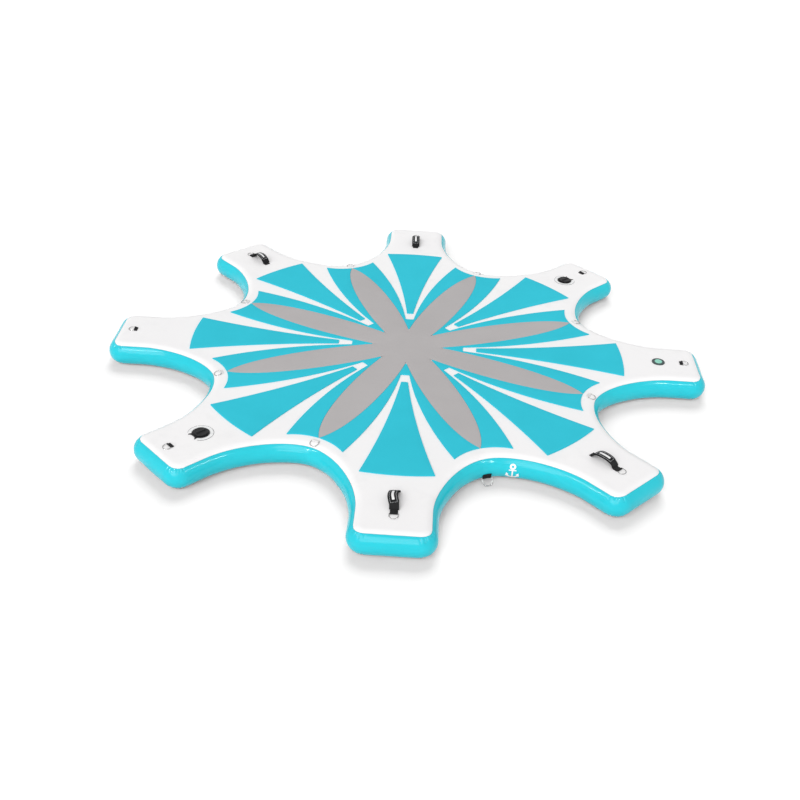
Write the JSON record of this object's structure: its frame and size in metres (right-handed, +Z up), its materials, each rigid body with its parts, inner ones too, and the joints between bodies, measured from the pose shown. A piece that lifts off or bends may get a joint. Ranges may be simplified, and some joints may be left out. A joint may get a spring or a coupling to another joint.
{
  "type": "inflatable yoga platform",
  "caption": "Flat inflated star-shaped floating deck with rounded arms, foam pads in a petal pattern, carry handles, tie rings and air valves.",
  "frame": {"origin": "centre of the footprint, on the surface that the platform lies on", "axes": "+Z up out of the deck; -Y along the arm nearest the viewer, with its carry handle; +X to the right"},
  "size_m": [3.692, 3.692, 0.1948],
  "materials": {
    "white_pvc": "white PVC-coated cloth, satin",
    "teal_pvc": "glossy teal PVC-coated cloth",
    "base_cloth": "PVC-coated cloth, satin",
    "teal_foam": "matt closed-cell foam",
    "grey_foam": "matt closed-cell foam",
    "black_webbing": "woven polyester webbing",
    "pale_webbing": "woven polyester webbing",
    "stainless_steel": "polished stainless wire",
    "black_plastic": "moulded nylon",
    "mint_plastic": "moulded plastic, satin"
  },
  "bodies": {
    "platform": {"drop_stitch_panel": "base_cloth", "deck_skin": "white_pvc", "side_wall": "teal_pvc", "petal_pad": "grey_foam", "wedge_pad_1": "teal_foam", "chevron_pad_1": "teal_foam", "wedge_pad_2": "teal_foam", "chevron_pad_2": "teal_foam", "wedge_pad_3": "teal_foam", "chevron_pad_3": "teal_foam", "wedge_pad_4": "teal_foam", "chevron_pad_4": "teal_foam", "wedge_pad_5": "teal_foam", "chevron_pad_5": "teal_foam", "wedge_pad_6": "teal_foam", "chevron_pad_6": "teal_foam", "wedge_pad_7": "teal_foam", "chevron_pad_7": "teal_foam", "wedge_pad_8": "teal_foam", "chevron_pad_8": "teal_foam", "handle_1": "black_webbing", "handle_4": "black_webbing", "handle_5": "black_webbing", "handle_8": "black_webbing", "arm_tab_2": "black_webbing", "arm_tab_3": "black_webbing", "arm_tab_6": "black_webbing", "arm_tab_7": "black_webbing", "bay_tab_1": "pale_webbing", "bay_tab_2": "pale_webbing", "bay_tab_3": "pale_webbing", "bay_tab_4": "pale_webbing", "bay_tab_5": "pale_webbing", "bay_tab_6": "pale_webbing", "bay_tab_7": "pale_webbing", "anchor_tab": "black_webbing", "valve_body_2": "black_plastic", "valve_body_6": "black_plastic", "relief_valve_body": "black_plastic"},
    "arm_ring_2": {"arm_ring_2": "stainless_steel"},
    "arm_ring_3": {"arm_ring_3": "stainless_steel"},
    "arm_ring_6": {"arm_ring_6": "stainless_steel"},
    "arm_ring_7": {"arm_ring_7": "stainless_steel"},
    "handle_ring_1": {"handle_ring_1": "stainless_steel"},
    "handle_ring_4": {"handle_ring_4": "stainless_steel"},
    "handle_ring_5": {"handle_ring_5": "stainless_steel"},
    "handle_ring_8": {"handle_ring_8": "stainless_steel"},
    "bay_ring_1": {"bay_ring_1": "stainless_steel"},
    "bay_ring_2": {"bay_ring_2": "stainless_steel"},
    "bay_ring_3": {"bay_ring_3": "stainless_steel"},
    "bay_ring_4": {"bay_ring_4": "stainless_steel"},
    "bay_ring_5": {"bay_ring_5": "stainless_steel"},
    "bay_ring_6": {"bay_ring_6": "stainless_steel"},
    "bay_ring_7": {"bay_ring_7": "stainless_steel"},
    "anchor_ring": {"anchor_ring": "stainless_steel"},
    "valve_cap_2": {"valve_cap_2": "black_plastic"},
    "valve_stem_2": {"valve_stem_2": "black_plastic"},
    "valve_cap_6": {"valve_cap_6": "black_plastic"},
    "valve_stem_6": {"valve_stem_6": "black_plastic"},
    "relief_valve_cap": {"relief_valve_cap": "mint_plastic"}
  },
  "joints": [
    {"name": "arm_ring_2_lift", "type": "hinge", "parent": "platform", "child": "arm_ring_2", "pos_m": [-1.2134, -1.2134, 0.1551], "axis": [-0.7071, 0.7071, 0], "range_deg": [0, 170]},
    {"name": "arm_ring_3_lift", "type": "hinge", "parent": "platform", "child": "arm_ring_3", "pos_m": [-1.716, 0, 0.1551], "axis": [0, 1, 0], "range_deg": [0, 170]},
    {"name": "arm_ring_6_lift", "type": "hinge", "parent": "platform", "child": "arm_ring_6", "pos_m": [1.2134, 1.2134, 0.1551], "axis": [0.7071, -0.7071, 0], "range_deg": [0, 170]},
    {"name": "arm_ring_7_lift", "type": "hinge", "parent": "platform", "child": "arm_ring_7", "pos_m": [1.716, 0, 0.1551], "axis": [0, -1, 0], "range_deg": [0, 170]},
    {"name": "handle_ring_1_lift", "type": "hinge", "parent": "platform", "child": "handle_ring_1", "pos_m": [0, -1.658, 0.1551], "axis": [-1, 0, 0], "range_deg": [0, 120]},
    {"name": "handle_ring_4_lift", "type": "hinge", "parent": "platform", "child": "handle_ring_4", "pos_m": [-1.17238, 1.17238, 0.1551], "axis": [0.7071, 0.7071, 0], "range_deg": [0, 120]},
    {"name": "handle_ring_5_lift", "type": "hinge", "parent": "platform", "child": "handle_ring_5", "pos_m": [0, 1.658, 0.1551], "axis": [1, 0, 0], "range_deg": [0, 120]},
    {"name": "handle_ring_8_lift", "type": "hinge", "parent": "platform", "child": "handle_ring_8", "pos_m": [1.17238, -1.17238, 0.1551], "axis": [-0.7071, -0.7071, 0], "range_deg": [0, 120]},
    {"name": "bay_ring_1_lift", "type": "hinge", "parent": "platform", "child": "bay_ring_1", "pos_m": [-0.45157, -1.09018, 0.1551], "axis": [-0.9239, 0.3827, 0], "range_deg": [0, 170]},
    {"name": "bay_ring_2_lift", "type": "hinge", "parent": "platform", "child": "bay_ring_2", "pos_m": [-1.09018, -0.45157, 0.1551], "axis": [-0.3827, 0.9239, 0], "range_deg": [0, 170]},
    {"name": "bay_ring_3_lift", "type": "hinge", "parent": "platform", "child": "bay_ring_3", "pos_m": [-1.09018, 0.45157, 0.1551], "axis": [0.3827, 0.9239, 0], "range_deg": [0, 170]},
    {"name": "bay_ring_4_lift", "type": "hinge", "parent": "platform", "child": "bay_ring_4", "pos_m": [-0.45157, 1.09018, 0.1551], "axis": [0.9239, 0.3827, 0], "range_deg": [0, 170]},
    {"name": "bay_ring_5_lift", "type": "hinge", "parent": "platform", "child": "bay_ring_5", "pos_m": [0.45157, 1.09018, 0.1551], "axis": [0.9239, -0.3827, 0], "range_deg": [0, 170]},
    {"name": "bay_ring_6_lift", "type": "hinge", "parent": "platform", "child": "bay_ring_6", "pos_m": [1.09018, 0.45157, 0.1551], "axis": [0.3827, -0.9239, 0], "range_deg": [0, 170]},
    {"name": "bay_ring_7_lift", "type": "hinge", "parent": "platform", "child": "bay_ring_7", "pos_m": [1.09018, -0.45157, 0.1551], "axis": [-0.3827, -0.9239, 0], "range_deg": [0, 170]},
    {"name": "anchor_ring_lift", "type": "hinge", "parent": "platform", "child": "anchor_ring", "pos_m": [0.47972, -1.15815, 0.03751], "axis": [-0.9239, -0.3827, 0], "range_deg": [0, 110]},
    {"name": "valve_cap_2_turn", "type": "hinge", "parent": "platform", "child": "valve_cap_2", "pos_m": [-1.07551, -1.07551, 0.15], "axis": [0, 0, 1], "range_deg": [0, 90]},
    {"name": "valve_stem_2_push", "type": "slide", "parent": "platform", "child": "valve_stem_2", "axis": [0, 0, 1], "range_m": [-0.008, 0], "stiffness_N_per_m": 600, "springref_m": 0.006},
    {"name": "valve_cap_6_turn", "type": "hinge", "parent": "platform", "child": "valve_cap_6", "pos_m": [1.07551, 1.07551, 0.15], "axis": [0, 0, 1], "range_deg": [0, 90]},
    {"name": "valve_stem_6_push", "type": "slide", "parent": "platform", "child": "valve_stem_6", "axis": [0, 0, 1], "range_m": [-0.008, 0], "stiffness_N_per_m": 600, "springref_m": 0.006},
    {"name": "relief_valve_cap_turn", "type": "hinge", "parent": "platform", "child": "relief_valve_cap", "pos_m": [1.568, 0, 0.15], "axis": [0, 0, 1], "range_deg": [0, 90]}
  ]
}
